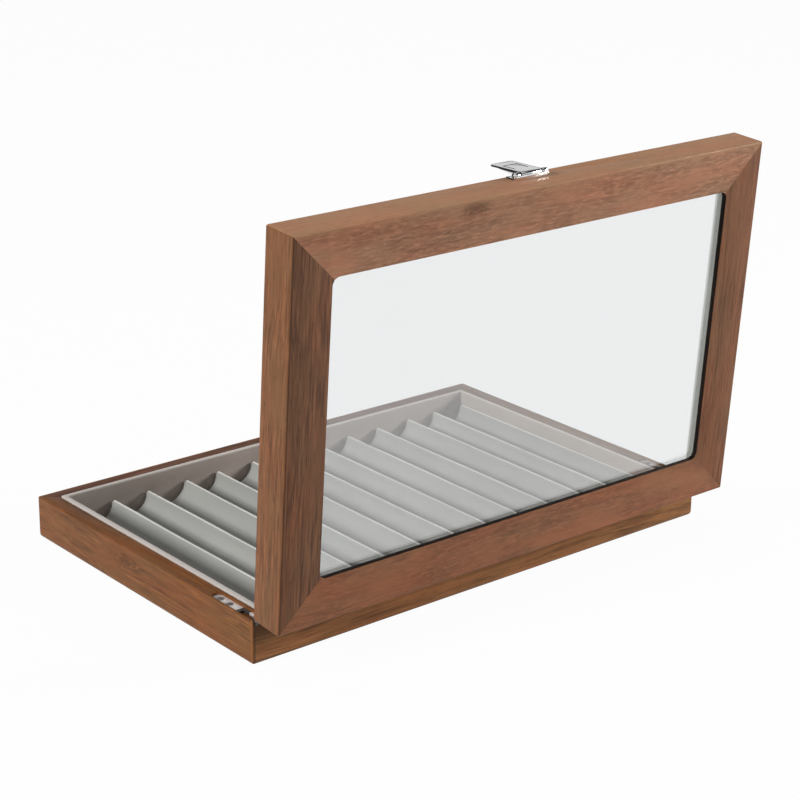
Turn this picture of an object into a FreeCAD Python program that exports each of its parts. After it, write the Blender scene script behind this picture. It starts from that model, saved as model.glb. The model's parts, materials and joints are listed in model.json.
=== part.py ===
import FreeCAD, Part
import math
import os
from types import SimpleNamespace

import Sketcher

# Pen display case: a shallow wooden tray with twelve lined channels under a glazed wooden lid.
#
# Millimetres. X runs along the case, -Y is the clasp side and +Z is up. The origin is the middle
# of the underside. Left and right are those of someone who faces the clasp. Lid pieces are drawn
# shut over the tray, and one placement swings them open about the hinge line.

SIZES = {
    # The wooden box
    "case_width": 330.0,
    "case_depth": 215.0,
    "base_height": 26.0,
    "lid_height": 21.5,
    "rim_gap": 0.4,
    "base_wall": 9.65,
    "lid_wall": 9.3,
    "frame_width": 25.5,
    "frame_lip": 3.2,
    "opening_corner": 4.5,
    "foot_round": 3.0,
    "corner_round": 1.2,
    "arris_round": 0.8,
    "lid_top_round": 1.0,
    "bottom_thickness": 3.0,
    "bottom_rabbet": 5.0,
    "glue_gap": 0.1,
    # The lining and the glass
    "lining_thickness": 2.4,
    "lining_rise": 1.5,
    "lid_lining_thickness": 4.3,
    "lid_lining_setback": 1.9,
    "lining_round": 0.7,
    "glass_thickness": 2.0,
    "glass_play": 0.3,
    # The channelled insert
    "board_thickness": 1.5,
    "channel_count": 12,
    "channel_floor": 1.3,
    "channel_depth": 11.4,
    "crest_width": 2.3,
    "first_land": 6.5,
    "last_land": 0.5,
    "insert_play": 0.2,
    # The hinges, set into the ends of the side walls
    "hinge_inset": 4.9,
    "hinge_length": 41.0,
    "leaf_width": 7.0,
    "leaf_thickness": 1.5,
    "leaf_sink": 1.5,
    "fork_length": 16.5,
    "tongue_width": 3.0,
    "fork_gap": 0.35,
    "knuckle_radius": 2.4,
    "knuckle_play": 0.4,
    "hinge_pin_radius": 1.0,
    "pin_press": 0.02,
    "pin_play": 0.06,
    "pivot_back": 0.5,
    "open_angle": 93.8,
    "web_thickness": 1.2,
    "web_height": 1.1,
    "web_setback": 1.9,
    "heel_start": 1.5,
    "heel_reach": 2.6,
    "heel_drop": 1.4,
    # The hinge screws
    "screw_head_radius": 2.2,
    "screw_radius": 1.1,
    "screw_length": 9.0,
    "screw_tip": 2.5,
    "screw_point_radius": 0.2,
    "screw_first": 5.5,
    "screw_pitch": 8.3,
    "screw_play": 0.1,
    "screw_bite": 0.02,
    "recess_length": 2.6,
    "recess_width": 0.6,
    "recess_depth": 0.5,
    # The clasp
    "clasp_width": 22.6,
    "clasp_plate": 0.5,
    "clasp_axis_out": 2.4,
    "clasp_axis_up": 7.0,
    "clasp_knuckle": 1.6,
    "clasp_pin_radius": 0.7,
    "clasp_gap": 0.3,
    "upstand_setback": 2.1,
    "upstand_height": 2.7,
    "clasp_foot": 1.0,
    "hasp_width": 15.6,
    "hasp_length": 23.5,
    "hasp_thickness": 0.8,
    "hasp_droop": 5.0,
    "flange_thickness": 0.7,
    "flange_depth": 2.8,
    "flange_start": 2.5,
    "flange_end": 21.5,
    "hasp_corner": 2.5,
    "slit_width": 0.7,
    "tongue_half": 4.2,
    "slit_start": 6.5,
    "slit_end": 16.0,
    "catch_width": 12.4,
    "catch_top": 4.0,
    "catch_height": 10.0,
    "catch_lip_down": 9.0,
    "catch_lip_out": 1.2,
    "catch_lip_width": 7.0,
    "catch_lip_thickness": 0.8,
    # The clasp nails
    "nail_radius": 0.5,
    "nail_length": 6.0,
    "nail_head_radius": 1.1,
    "nail_crown_radius": 0.8,
    "nail_head_height": 0.4,
    "clasp_nail_spread": 9.3,
    "clasp_nail_up": 3.4,
    "catch_nail_spread": 3.6,
    "catch_nail_down": 12.0,
}

# The channels were laid by hand, so each crest stands a little off the even pitch.
CREST_SHIFTS = (0.0, -0.1, 0.3, -2.1, -1.0, -2.7, -2.7, -2.7, -2.7, -2.2, -3.6, -0.8)
for place in range(int(SIZES["channel_count"]) + 1):
    shift = CREST_SHIFTS[place] if place < len(CREST_SHIFTS) else 0.0
    SIZES["crest_shift_%d" % place] = shift


class Size:
    """A length that keeps its formula in the sheet's names beside its number."""

    def __init__(self, text, number):
        self.text = text
        self.number = number

    @staticmethod
    def of(value):
        return value if isinstance(value, Size) else Size(repr(value), value)

    def __add__(self, other):
        other = Size.of(other)
        return Size("(%s + %s)" % (self.text, other.text), self.number + other.number)

    def __sub__(self, other):
        other = Size.of(other)
        return Size("(%s - %s)" % (self.text, other.text), self.number - other.number)

    def __mul__(self, other):
        other = Size.of(other)
        return Size("(%s * %s)" % (self.text, other.text), self.number * other.number)

    def __truediv__(self, other):
        other = Size.of(other)
        return Size("(%s / %s)" % (self.text, other.text), self.number / other.number)

    def __rmul__(self, other):
        return Size.of(other) * self

    def __neg__(self):
        return Size("(-%s)" % self.text, -self.number)


doc = FreeCAD.newDocument("pen_display_case")
sheet = doc.addObject("Spreadsheet::Sheet", "Sizes")
for row, (name, number) in enumerate(SIZES.items(), start=1):
    sheet.set("A%d" % row, name)
    sheet.set("B%d" % row, str(number))
    sheet.setAlias("B%d" % row, name)
doc.recompute()
s = SimpleNamespace(**{name: Size("Sizes.%s" % name, number) for name, number in SIZES.items()})
ZERO = Size("0", 0.0)
TINY = 1e-4
SPARE = 1.0
DIAGONAL = 0.5 ** 0.5

nodes = []


def tie(thing, path, size):
    """Binds a property or a named constraint to a formula of the sheet."""
    thing.setExpression(path, Size.of(size).text)


def pose(x=ZERO, y=ZERO, z=ZERO, angle=ZERO):
    """A placement formula: a turn about X at the origin, then a shift."""
    shift = "create(<<vector>>; %s; %s; %s)" % tuple(Size.of(v).text for v in (x, y, z))
    turn = "create(<<rotation>>; create(<<vector>>; 1; 0; 0); %s)" % angle.text
    return "create(<<placement>>; %s; %s)" % (shift, turn)


def seat(thing, *poses):
    """Places a thing by the product of some placement formulas."""
    thing.setExpression("Placement", " * ".join(poses))


def node(label, thing, *poses):
    """Names a finished sub-part and places it."""
    thing.Label = label
    if poses:
        seat(thing, *poses)
    nodes.append(thing)
    return thing


def middle(size):
    """The two ends of a span that is centred on zero."""
    return -(size / 2), size / 2


def box(x, y, z):
    """A box between pairs of formulas along X, Y and Z."""
    solid = doc.addObject("Part::Box", "box")
    for side, (low, high) in zip(("Length", "Width", "Height"), (x, y, z)):
        tie(solid, side, Size.of(high) - low)
    for axis, (low, high) in zip("xyz", (x, y, z)):
        tie(solid, "Placement.Base.%s" % axis, low)
    return solid


def rod(axis, radius, span, x=ZERO, y=ZERO, z=ZERO, far_radius=None):
    """A cylinder, or a cone with a far radius, along an axis over a span of that axis."""
    kind = "Part::Cone" if far_radius is not None else "Part::Cylinder"
    solid = doc.addObject(kind, "rod")
    if far_radius is not None:
        tie(solid, "Radius1", radius)
        tie(solid, "Radius2", far_radius)
    else:
        tie(solid, "Radius", radius)
    low, high = span
    tie(solid, "Height", Size.of(high) - low)
    turns = {"x": ((0, 1, 0), 90), "y": ((1, 0, 0), -90), "z": ((0, 0, 1), 0)}
    about, angle = turns[axis]
    solid.Placement = FreeCAD.Placement(FreeCAD.Vector(), FreeCAD.Rotation(FreeCAD.Vector(*about), angle))
    ends = {"x": x, "y": y, "z": z}
    ends[axis] = low
    for key, value in ends.items():
        tie(solid, "Placement.Base.%s" % key, value)
    return solid


def fuse(*solids):
    """One solid of several that overlap."""
    if len(solids) == 1:
        return solids[0]
    joined = doc.addObject("Part::MultiFuse", "fuse")
    joined.Shapes = list(solids)
    return joined


def cut(solid, *tools):
    """A solid less its tools."""
    result = doc.addObject("Part::Cut", "cut")
    result.Base = solid
    result.Tool = fuse(*tools)
    return result


def common(solid, other):
    """What two solids share."""
    result = doc.addObject("Part::Common", "common")
    result.Base = solid
    result.Tool = other
    return result


def group(*solids):
    """One or more like pieces that stay separate solids and are placed together."""
    bundle = doc.addObject("Part::Compound", "group")
    bundle.Links = list(solids)
    return bundle


def new_sketch(body, role):
    """An empty sketch on one of a body's own origin planes."""
    sketch = body.newObject("Sketcher::SketchObject", "outline")
    plane = [feature for feature in body.Origin.OriginFeatures if feature.Role == role][0]
    sketch.AttachmentSupport = [(plane, "")]
    sketch.MapMode = "FlatFace"
    return sketch


def dimension(sketch, kind, refs, name, size):
    """Adds a driving dimension and binds it to a formula."""
    index = sketch.addConstraint(Sketcher.Constraint(kind, *refs, Size.of(size).number))
    sketch.renameConstraint(index, name)
    tie(sketch, "Constraints.%s" % name, size)


def pad(body, sketch, length, both_ways=False):
    """Pads a sketch, upwards or to both sides of its plane."""
    feature = body.newObject("PartDesign::Pad", "pad")
    feature.Profile = sketch
    tie(feature, "Length", length)
    if both_ways:
        feature.SideType = "Symmetric"
    doc.recompute()
    return feature


def round_edges(body, feature, picks, radius):
    """Rounds the edges of a feature that a test picks."""
    names = ["Edge%d" % number for number, edge in enumerate(feature.Shape.Edges, start=1) if picks(edge)]
    fillet = body.newObject("PartDesign::Fillet", "rounding")
    fillet.Base = (feature, names)
    tie(fillet, "Radius", radius)
    doc.recompute()
    return fillet


def block(width, depth, z, corner=None, under=None, over=None):
    """A centred plate between two heights, with its edges rounded where radii are given."""
    low, high = z
    body = doc.addObject("PartDesign::Body", "block")
    sketch = new_sketch(body, "XY_Plane")
    x, y = Size.of(width).number / 2, Size.of(depth).number / 2
    corners = [FreeCAD.Vector(*p, 0) for p in ((-x, -y), (x, -y), (x, y), (-x, y))]
    for start, end in zip(corners, corners[1:] + corners[:1]):
        sketch.addGeometry(Part.LineSegment(start, end))
    for line in range(4):
        sketch.addConstraint(Sketcher.Constraint("Coincident", line, 2, (line + 1) % 4, 1))
    for line in (0, 2):
        sketch.addConstraint(Sketcher.Constraint("Horizontal", line))
    for line in (1, 3):
        sketch.addConstraint(Sketcher.Constraint("Vertical", line))
    sketch.addConstraint(Sketcher.Constraint("Symmetric", 0, 1, 1, 2, -1, 1))
    dimension(sketch, "DistanceX", (0, 1, 0, 2), "width", width)
    dimension(sketch, "DistanceY", (1, 1, 1, 2), "depth", depth)
    height = Size.of(high) - low
    feature = pad(body, sketch, height)
    top = height.number

    def level(edge, at):
        return all(abs(vertex.Z - at) < TINY for vertex in edge.Vertexes)

    def upright(edge):
        return edge.Curve.TypeId == "Part::GeomLine" and abs(edge.Curve.Direction.z) > 1 - TINY

    rounds = [(radius, picks) for radius, picks in (
        (under, lambda edge: level(edge, 0)),
        (corner, upright),
        (over, lambda edge: level(edge, top))) if radius is not None]
    for radius, picks in sorted(rounds, key=lambda item: -item[0].number):
        feature = round_edges(body, feature, picks, radius)
    tie(body, "Placement.Base.z", low)
    return body


def mitre_wedge(side, width, depth, reach, z):
    """The share of a rectangular frame that belongs to one side, cut at 45 degrees at its ends."""
    turn = {"front": 0, "right": 90, "back": 180, "left": 270}[side]
    span, across = (width, depth) if turn in (0, 180) else (depth, width)
    low, high = Size.of(z[0]) - SPARE, Size.of(z[1]) + SPARE
    wedge = doc.addObject("Part::Wedge", "wedge")
    outer, inner = across / 2 + SPARE, across / 2 - reach
    tie(wedge, "Ymin", -outer)
    tie(wedge, "Ymax", -inner)
    for front, back, sign in (("Xmin", "X2min", -1), ("Xmax", "X2max", 1)):
        tie(wedge, front, (span / 2 + SPARE) * sign)
        tie(wedge, back, (span / 2 - reach) * sign)
    for bottom, top in (("Zmin", "Zmax"), ("Z2min", "Z2max")):
        tie(wedge, bottom, low)
        tie(wedge, top, high)
    wedge.Placement.Rotation = FreeCAD.Rotation(FreeCAD.Vector(0, 0, 1), turn)
    return wedge


def four_sides(label, shell, width, depth, reach, z, *poses):
    """Splits a rectangular shell into its four mitred members."""
    for side in ("front", "back", "left", "right"):
        member = common(shell, mitre_wedge(side, width, depth, reach, z))
        node(label % side, member, *poses)


# Heights, half sizes and poses that several pieces share.
LID_RIM = s.base_height + s.rim_gap
LID_TOP = LID_RIM + s.lid_height
PIVOT_Y = s.case_depth / 2 + s.pivot_back
PIVOT_Z = s.base_height + s.rim_gap / 2
GLASS_TOP = LID_TOP - s.frame_lip
GLASS_BOTTOM = GLASS_TOP - s.glass_thickness
INNER_X = s.case_width - s.base_wall * 2
INNER_Y = s.case_depth - s.base_wall * 2
LID_INNER_X = s.case_width - s.lid_wall * 2
LID_INNER_Y = s.case_depth - s.lid_wall * 2
TRAY_X = INNER_X - s.lining_thickness * 2
TRAY_Y = INNER_Y - s.lining_thickness * 2
OPEN_LID = (pose(y=PIVOT_Y, z=PIVOT_Z, angle=-s.open_angle), pose(y=-PIVOT_Y, z=-PIVOT_Z))
HINGE_X = s.case_width / 2 - s.hinge_inset
HINGES = {"left": -HINGE_X, "right": HINGE_X}
LEAF_FRONT = s.case_depth / 2 - s.hinge_length
FORK = s.case_depth / 2 - s.fork_length
BASE_LEAF = (s.base_height - s.leaf_sink - s.leaf_thickness, s.base_height - s.leaf_sink)
LID_LEAF = (LID_RIM + s.leaf_sink, LID_RIM + s.leaf_sink + s.leaf_thickness)
SCREWS_Y = (LEAF_FRONT + s.screw_first, LEAF_FRONT + s.screw_first + s.screw_pitch)
CLASP_Y = -(s.case_depth / 2)
CLASP_AXIS_Y = CLASP_Y - s.clasp_axis_out
CLASP_AXIS_Z = LID_RIM + s.clasp_axis_up
CLASP_NAIL_Z = LID_RIM + s.clasp_nail_up
CATCH_NAIL_Z = s.base_height - s.catch_nail_down


def hinge_mortises(z):
    """The round-ended slots for one leaf of each hinge, wider at the knuckle and open at the back."""
    tools = []
    half = s.leaf_width / 2 + s.glue_gap
    for x in HINGES.values():
        centre = LEAF_FRONT + s.leaf_width / 2
        tools.append(box((x - half, x + half), (centre, s.case_depth / 2 + SPARE), z))
        tools.append(rod("z", half, z, x=x, y=centre))
        wide = s.leaf_width / 2 + s.knuckle_play
        knuckle = PIVOT_Y - s.knuckle_radius - s.knuckle_play
        tools.append(box((x - wide, x + wide), (knuckle, s.case_depth / 2 + SPARE), z))
    return tools


def screw_holes(z):
    """The pilot holes under one leaf of each hinge."""
    radius = s.screw_radius + s.screw_bite
    return [rod("z", radius, z, x=x, y=y) for x in HINGES.values() for y in SCREWS_Y]


def nail_holes(spread, z):
    """Two nail holes in the clasp side."""
    end = CLASP_Y + s.nail_length + s.glue_gap
    span = (CLASP_Y - SPARE, end)
    radius = s.nail_radius + s.screw_bite
    return [rod("y", radius, span, x=spread * sign, z=z) for sign in (-1, 1)]


def base_walls():
    """Four mitred walls with a rabbet for the bottom and mortises for the hinges."""
    height = (ZERO, s.base_height)
    outer = block(s.case_width, s.case_depth, height, s.corner_round, s.foot_round, s.arris_round)
    cavity = box(middle(INNER_X), middle(INNER_Y), (-Size.of(SPARE), s.base_height + SPARE))
    rabbet_x = INNER_X + s.bottom_rabbet * 2
    rabbet_y = INNER_Y + s.bottom_rabbet * 2
    rabbet = box(middle(rabbet_x), middle(rabbet_y), (-Size.of(SPARE), s.bottom_thickness))
    slots = hinge_mortises((BASE_LEAF[0], s.base_height + SPARE))
    screw_floor = s.base_height - s.leaf_sink - s.screw_length - s.glue_gap
    pilots = screw_holes((screw_floor, s.base_height))
    nails = nail_holes(s.catch_nail_spread, CATCH_NAIL_Z)
    shell = cut(outer, cavity, rabbet, *slots, *pilots, *nails)
    four_sides("base_%s_wall", shell, s.case_width, s.case_depth, s.base_wall + SPARE, height)


def bottom_panel():
    """The thin panel that closes the base, flush with the walls' feet."""
    width = INNER_X + (s.bottom_rabbet - s.glue_gap) * 2
    depth = INNER_Y + (s.bottom_rabbet - s.glue_gap) * 2
    node("bottom_panel", block(width, depth, (ZERO, s.bottom_thickness)))


def lined_ring(width, depth, thickness, z, over=None):
    """A rectangular ring of lining boards."""
    outer = block(width, depth, z, over=over)
    hollow = (z[0] - SPARE, z[1] + SPARE)
    gap = box(middle(width - thickness * 2), middle(depth - thickness * 2), hollow)
    return cut(outer, gap)


def base_lining():
    """Lining boards inside the walls, standing a little proud of the rim."""
    z = (s.bottom_thickness, s.base_height + s.lining_rise)
    ring = lined_ring(INNER_X, INNER_Y, s.lining_thickness, z, over=s.lining_round)
    four_sides("base_%s_lining", ring, INNER_X, INNER_Y, s.lining_thickness + SPARE, z)


def crest_x(number):
    """The place of a crest along X, counted from the right."""
    pitch = (TRAY_X - s.first_land - s.last_land) / s.channel_count
    shift = getattr(s, "crest_shift_%d" % number)
    return TRAY_X / 2 - s.first_land - pitch * number + shift


def channel_x(number):
    """The middle of the channel between a crest and the next."""
    return (crest_x(number) + crest_x(number + 1)) / 2


def strip(label, points, arcs):
    """A strip along Y whose section runs through points, with some spans as arcs.

    Each point is an (x, z) pair. An arc is keyed by its first point and gives a point on its way
    and the one coordinate of its centre that is fixed, as an axis and a value.
    """
    body = doc.addObject("PartDesign::Body", "strip")
    sketch = new_sketch(body, "XZ_Plane")
    count = len(points)
    corners = [FreeCAD.Vector(x.number, z.number, 0) for x, z in points]
    ends = {}
    for index in range(count):
        start, end = corners[index], corners[(index + 1) % count]
        ends[index] = (1, 2)
        if index in arcs:
            way = FreeCAD.Vector(*arcs[index][0], 0)
            if (way - start).cross(end - way).z < 0:
                start, end = end, start
                ends[index] = (2, 1)
            sketch.addGeometry(Part.Arc(start, way, end))
        else:
            sketch.addGeometry(Part.LineSegment(start, end))
    for index in range(count):
        after = (index + 1) % count
        meeting = (index, ends[index][1], after, ends[after][0])
        sketch.addConstraint(Sketcher.Constraint("Coincident", *meeting))
    for index, (x, z) in enumerate(points):
        dimension(sketch, "DistanceX", (-1, 1, index, ends[index][0]), "x%d" % index, x)
        dimension(sketch, "DistanceY", (-1, 1, index, ends[index][0]), "z%d" % index, z)
    for index, (_, axis, value) in arcs.items():
        dimension(sketch, "Distance%s" % axis, (-1, 1, index, 3), "centre%d" % index, value)
    pad(body, sketch, TRAY_Y - s.insert_play * 2, both_ways=True)
    return node(label, body)


def flank(foot, foot_z, shoulder, shoulder_z):
    """The hollow flank from a channel's lowest line to a crest, as an arc for strip()."""
    run, rise = shoulder.number - foot.number, shoulder_z.number - foot_z.number
    radius = (run ** 2 + rise ** 2) / (2 * rise)
    halfway = math.atan(rise / run)
    way = (foot.number + radius * math.sin(halfway), foot_z.number + radius * (1 - math.cos(halfway)))
    return way, "X", foot


def insert():
    """The lift-out insert: a card with thirteen strips whose hollow sides make the channels."""
    width, depth = TRAY_X - s.insert_play * 2, TRAY_Y - s.insert_play * 2
    low = s.bottom_thickness + s.board_thickness
    node("insert_board", block(width, depth, (s.bottom_thickness, low)))
    floor = low + s.channel_floor
    half = s.crest_width / 2
    top = floor + s.channel_depth
    shoulder = top - half
    count = int(SIZES["channel_count"])
    for number in range(1, count):
        left, crest, right = channel_x(number), crest_x(number), channel_x(number - 1)
        points = [(left, low), (left, floor), (crest - half, shoulder),
                  (crest + half, shoulder), (right, floor), (right, low)]
        arcs = {1: flank(left, floor, crest - half, shoulder),
                2: ((crest.number, top.number), "Y", shoulder),
                3: flank(right, floor, crest + half, shoulder)}
        strip("ridge_%02d" % number, points, arcs)
    for label, foot, crest, wall, sign in (
            ("right_end_strip", channel_x(0), crest_x(0), width / 2, -1),
            ("left_end_strip", channel_x(count - 1), crest_x(count), -(width / 2), 1)):
        edge = crest + half * sign
        reach = half.number * DIAGONAL
        bend = (crest.number + sign * reach, shoulder.number + reach)
        points = [(foot, low), (foot, floor), (edge, shoulder), (crest, top), (wall, top), (wall, low)]
        arcs = {1: flank(foot, floor, edge, shoulder), 2: (bend, "Y", shoulder)}
        strip(label, points, arcs)


def lid_frame():
    """Four mitred members, each a wall and a face lip over the glass in one piece."""
    height = (LID_RIM, LID_TOP)
    outer = block(s.case_width, s.case_depth, height, s.corner_round, s.arris_round, s.lid_top_round)
    cavity = box(middle(LID_INNER_X), middle(LID_INNER_Y), (LID_RIM - SPARE, GLASS_TOP))
    opening_x = s.case_width - s.frame_width * 2
    opening_y = s.case_depth - s.frame_width * 2
    opening = block(opening_x, opening_y, (GLASS_BOTTOM, LID_TOP + SPARE), corner=s.opening_corner)
    slots = hinge_mortises((LID_RIM - SPARE, LID_LEAF[1]))
    screw_ceiling = LID_RIM + s.leaf_sink + s.screw_length + s.glue_gap
    pilots = screw_holes((LID_RIM, screw_ceiling))
    nails = nail_holes(s.clasp_nail_spread, CLASP_NAIL_Z)
    shell = cut(outer, cavity, opening, *slots, *pilots, *nails)
    four_sides("lid_%s_member", shell, s.case_width, s.case_depth, s.frame_width + SPARE, height, *OPEN_LID)


def glass_and_lining():
    """The pane under the face lip, and the lining boards that hold it up there."""
    width, depth = LID_INNER_X - s.glass_play * 2, LID_INNER_Y - s.glass_play * 2
    node("glass_pane", group(block(width, depth, (GLASS_BOTTOM, GLASS_TOP))), *OPEN_LID)
    z = (LID_RIM + s.lid_lining_setback, GLASS_BOTTOM - s.glue_gap / 2)
    ring = lined_ring(LID_INNER_X, LID_INNER_Y, s.lid_lining_thickness, z)
    reach = s.lid_lining_thickness + SPARE
    four_sides("lid_%s_lining", ring, LID_INNER_X, LID_INNER_Y, reach, z, *OPEN_LID)


def leaf_plate(z):
    """The flat of a hinge leaf, with its round end."""
    half = s.leaf_width / 2
    flat = box((-half, half), (LEAF_FRONT + half, FORK), z)
    return flat, rod("z", half, z, y=LEAF_FRONT + half)


def leaf_holes(z, head_up):
    """Countersunk holes for two screws through a leaf."""
    play = s.screw_play
    narrow, wide = s.screw_radius + play, s.screw_head_radius + play
    low, high = z
    tools = []
    for y in SCREWS_Y:
        tools.append(rod("z", narrow, (low - SPARE, high + SPARE), y=y))
        if head_up:
            tools.append(rod("z", narrow, (high - (wide - narrow), high), y=y, far_radius=wide))
        else:
            tools.append(rod("z", wide, (low, low + (wide - narrow)), y=y, far_radius=narrow))
    return tools


def hinge(side, x):
    """One hinge: a forked leaf in the wall, a tongued leaf in the lid and their pin."""
    half, tongue = s.leaf_width / 2, s.tongue_width / 2
    gap = tongue + s.fork_gap
    pieces = list(leaf_plate(BASE_LEAF))
    for low, high in ((-half, -gap), (gap, half)):
        pieces.append(box((low, high), (FORK - SPARE, PIVOT_Y), BASE_LEAF))
        pieces.append(rod("x", s.knuckle_radius, (low, high), y=PIVOT_Y, z=PIVOT_Z))
    web_back = PIVOT_Y - s.web_setback
    web_z = (BASE_LEAF[0], BASE_LEAF[0] + s.web_height)
    pieces.append(box((-half, half), (web_back - s.web_thickness, web_back), web_z))
    through = (-half - SPARE, half + SPARE)
    bore = rod("x", s.hinge_pin_radius + s.pin_press, through, y=PIVOT_Y, z=PIVOT_Z)
    forked = cut(fuse(*pieces), bore, *leaf_holes(BASE_LEAF, head_up=True))
    node("%s_hinge_base_leaf" % side, forked, pose(x=x))

    pieces = list(leaf_plate(LID_LEAF))
    pieces.append(box((-tongue, tongue), (FORK - SPARE, PIVOT_Y), LID_LEAF))
    pieces.append(rod("x", s.knuckle_radius, (-tongue, tongue), y=PIVOT_Y, z=PIVOT_Z))
    heel_z = (PIVOT_Z - s.heel_drop, PIVOT_Z)
    pieces.append(box((-tongue, tongue), (PIVOT_Y + s.heel_start, PIVOT_Y + s.heel_reach), heel_z))
    bore = rod("x", s.hinge_pin_radius + s.pin_play, (-half, half), y=PIVOT_Y, z=PIVOT_Z)
    tongued = cut(fuse(*pieces), bore, *leaf_holes(LID_LEAF, head_up=False))
    node("%s_hinge_lid_leaf" % side, tongued, *OPEN_LID, pose(x=x))

    pin = rod("x", s.hinge_pin_radius, (x - half, x + half), y=PIVOT_Y, z=PIVOT_Z)
    node("%s_hinge_pin" % side, pin)


def screw(*poses):
    """A countersunk screw with a cross recess, its head's top at the origin and its shank down."""
    sink = s.screw_head_radius - s.screw_radius
    shank_end = s.screw_length - s.screw_tip
    head = rod("z", s.screw_radius, (-sink, ZERO), far_radius=s.screw_head_radius)
    shank = rod("z", s.screw_radius, (-shank_end, -sink / 2))
    tip = rod("z", s.screw_point_radius, (-s.screw_length, -shank_end), far_radius=s.screw_radius)
    depth = (-s.recess_depth, Size.of(SPARE))
    long_way, short_way = middle(s.recess_length), middle(s.recess_width)
    recess = fuse(box(long_way, short_way, depth), box(short_way, long_way, depth))
    body = cut(fuse(head, shank, tip), recess)
    seat(body, *poses)
    return body


def hinge_screws():
    """Two screws through each leaf, upright in the base and upside down in the shut lid."""
    base, lid = [], []
    over = Size("180", 180.0)
    for x in HINGES.values():
        for y in SCREWS_Y:
            base.append(screw(pose(x, y, BASE_LEAF[1])))
            lid.append(screw(pose(x, y, LID_LEAF[0], over)))
    node("base_hinge_screws", group(*base))
    node("lid_hinge_screws", group(*lid), *OPEN_LID)


def nail(x, z, surface):
    """A round-headed nail driven into the clasp side, its head on a surface."""
    head_end = surface - s.nail_head_height
    head = rod("y", s.nail_crown_radius, (head_end, surface), x=x, z=z, far_radius=s.nail_head_radius)
    middle_of_head = surface - s.nail_head_height / 2
    shank = rod("y", s.nail_radius, (middle_of_head, CLASP_Y + s.nail_length), x=x, z=z)
    return fuse(head, shank)


def plate_nail_holes(spread, z, span):
    """The nail holes through a plate on the clasp side."""
    radius = s.nail_radius + s.screw_bite
    return [rod("y", radius, span, x=spread * sign, z=z) for sign in (-1, 1)]


def clasp_mount():
    """The plate on the lid's clasp side, with its upstand, two knuckles, pin and nails."""
    half, hasp_half = s.clasp_width / 2, s.hasp_width / 2 + s.clasp_gap
    outside = CLASP_Y - s.clasp_plate
    upstand = CLASP_AXIS_Z + s.upstand_setback
    pieces = [box((-half, half), (outside, CLASP_Y), (LID_RIM + s.clasp_foot, upstand + s.clasp_plate)),
              box((-half, half), (CLASP_Y - s.upstand_height, CLASP_Y), (upstand, upstand + s.clasp_plate))]
    for low, high in ((-half, -hasp_half), (hasp_half, half)):
        pieces.append(rod("x", s.clasp_knuckle, (low, high), y=CLASP_AXIS_Y, z=CLASP_AXIS_Z))
        ear_z = (CLASP_AXIS_Z, upstand + s.clasp_plate / 2)
        pieces.append(box((low, high), (CLASP_AXIS_Y, CLASP_Y), ear_z))
    reach = (-half - SPARE, half + SPARE)
    bore = rod("x", s.clasp_pin_radius + s.pin_press, reach, y=CLASP_AXIS_Y, z=CLASP_AXIS_Z)
    holes = plate_nail_holes(s.clasp_nail_spread, CLASP_NAIL_Z, (outside - SPARE, CLASP_Y + SPARE))
    node("clasp_plate", cut(fuse(*pieces), bore, *holes), *OPEN_LID)
    nails = [nail(s.clasp_nail_spread * sign, CLASP_NAIL_Z, outside) for sign in (-1, 1)]
    node("clasp_nails", group(*nails), *OPEN_LID)
    pin = rod("x", s.clasp_pin_radius, (-half, half), y=CLASP_AXIS_Y, z=CLASP_AXIS_Z)
    node("clasp_pin", group(pin), *OPEN_LID)


def hasp():
    """The swinging plate, drawn about its pin: -Z is along it and -Y is outwards."""
    half = s.hasp_width / 2
    knuckle = rod("x", s.clasp_knuckle, (-half, half))
    face = (-s.clasp_knuckle, -s.clasp_knuckle + s.hasp_thickness)
    plate = box((-half, half), face, (-s.hasp_length, ZERO))
    pieces = [knuckle, plate]
    deep = -s.clasp_knuckle + s.flange_depth
    for sign in (-1, 1):
        flange = doc.addObject("Part::Wedge", "flange")
        low = half - s.flange_thickness if sign > 0 else -half
        high = low + s.flange_thickness
        tie(flange, "Xmin", low)
        tie(flange, "X2min", low)
        tie(flange, "Xmax", high)
        tie(flange, "X2max", high)
        tie(flange, "Ymin", face[0])
        tie(flange, "Ymax", deep)
        tie(flange, "Zmin", -s.flange_end)
        tie(flange, "Zmax", -s.flange_start)
        tie(flange, "Z2min", -s.flange_start - SPARE)
        tie(flange, "Z2max", -s.flange_start)
        pieces.append(flange)
    through = (face[0] - SPARE, face[1] + s.slit_width)
    legs = (-s.slit_end, -s.slit_start)
    slits = [box((-s.tongue_half, s.tongue_half), through, (-s.slit_end, -s.slit_end + s.slit_width))]
    for sign in (-1, 1):
        low = s.tongue_half if sign > 0 else -s.tongue_half - s.slit_width
        slits.append(box((low, low + s.slit_width), through, legs))
    bore = rod("x", s.clasp_pin_radius + s.pin_play, (-half - SPARE, half + SPARE))
    corners = []
    across = (face[0] - SPARE, Size.of(deep) + SPARE)
    round_z = s.hasp_corner - s.hasp_length
    for sign in (-1, 1):
        centre = (half - s.hasp_corner) * sign
        edge = (half + SPARE) * sign
        waste = box((centre, edge) if sign > 0 else (edge, centre), across, (-s.hasp_length - SPARE, round_z))
        corners.append(cut(waste, rod("y", s.hasp_corner, across, x=centre, z=round_z)))
    swinging = cut(fuse(*pieces), bore, *slits, *corners)
    node("hasp", swinging, *OPEN_LID, pose(y=CLASP_AXIS_Y, z=CLASP_AXIS_Z, angle=s.hasp_droop))


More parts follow.
